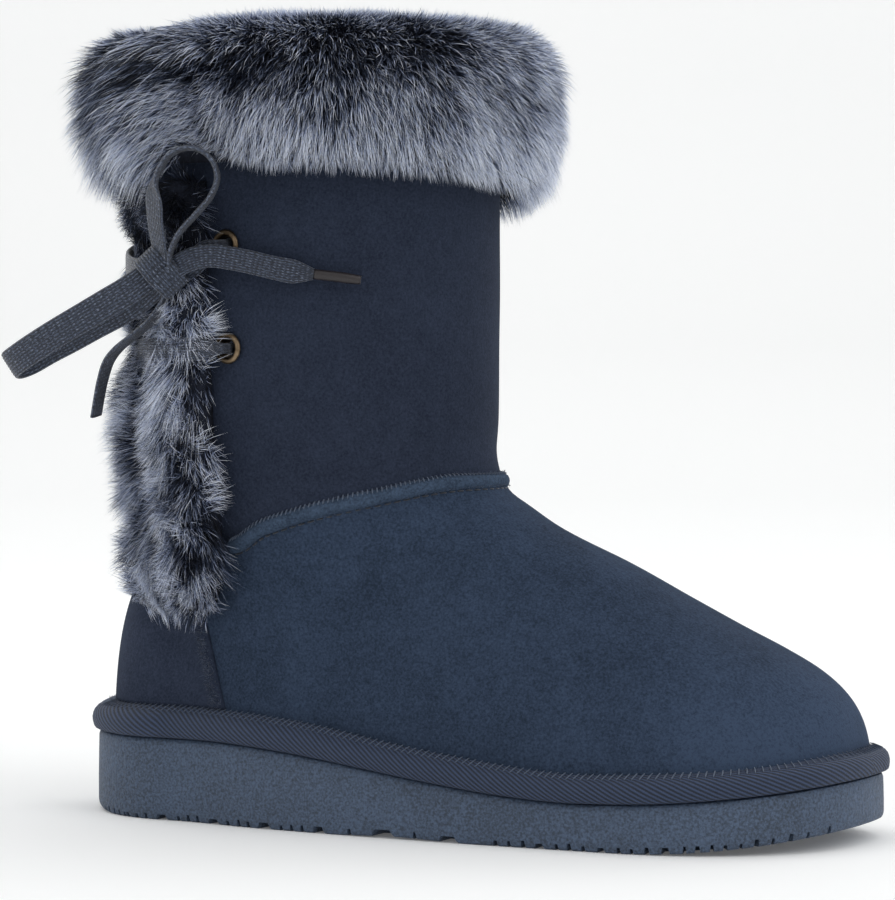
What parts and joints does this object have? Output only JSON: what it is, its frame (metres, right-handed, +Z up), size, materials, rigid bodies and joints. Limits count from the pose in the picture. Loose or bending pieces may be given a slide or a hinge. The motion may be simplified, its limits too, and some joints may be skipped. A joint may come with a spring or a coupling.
{
  "type": "mukluk boot",
  "caption": "Right winter boot, suede foot and shaft on a moulded sole, with a deep fur cuff and a fur-edged laced slit on the outer back.",
  "frame": {"origin": "middle of the heel's flat contact patch, on the floor", "axes": "+X from the heel to the toe, +Y to the inner side of the foot, +Z up"},
  "size_m": [0.2659, 0.1589, 0.253],
  "materials": {
    "sole": "moulded, pebbled matt",
    "fleece": "short pile",
    "suede": "brushed nap",
    "tape": "twill woven",
    "counter_suede": "brushed nap",
    "seam_suede": "brushed nap",
    "fur": "long pile with pale tips",
    "lace": "ribbed flat weave",
    "aglet": "gloss",
    "brass": "antiqued, satin"
  },
  "bodies": {
    "root": {"outsole": "sole", "insole": "fleece", "upper": "suede", "welt_tape": "tape", "heel_counter": "counter_suede", "vamp_seam": "seam_suede", "fur_cuff": "fur", "fur_trim_front": "fur", "fur_trim_rear": "fur", "lace_crossings": "lace", "lace_knot": "lace", "lace_loop_upper": "lace", "lace_loop_rear": "lace", "lace_end_front": "lace", "lace_end_rear": "lace", "aglet_front": "aglet", "eyelet_lower_front": "brass", "eyelet_lower_rear": "brass", "eyelet_upper_front": "brass", "eyelet_upper_rear": "brass"}
  },
  "joints": []
}
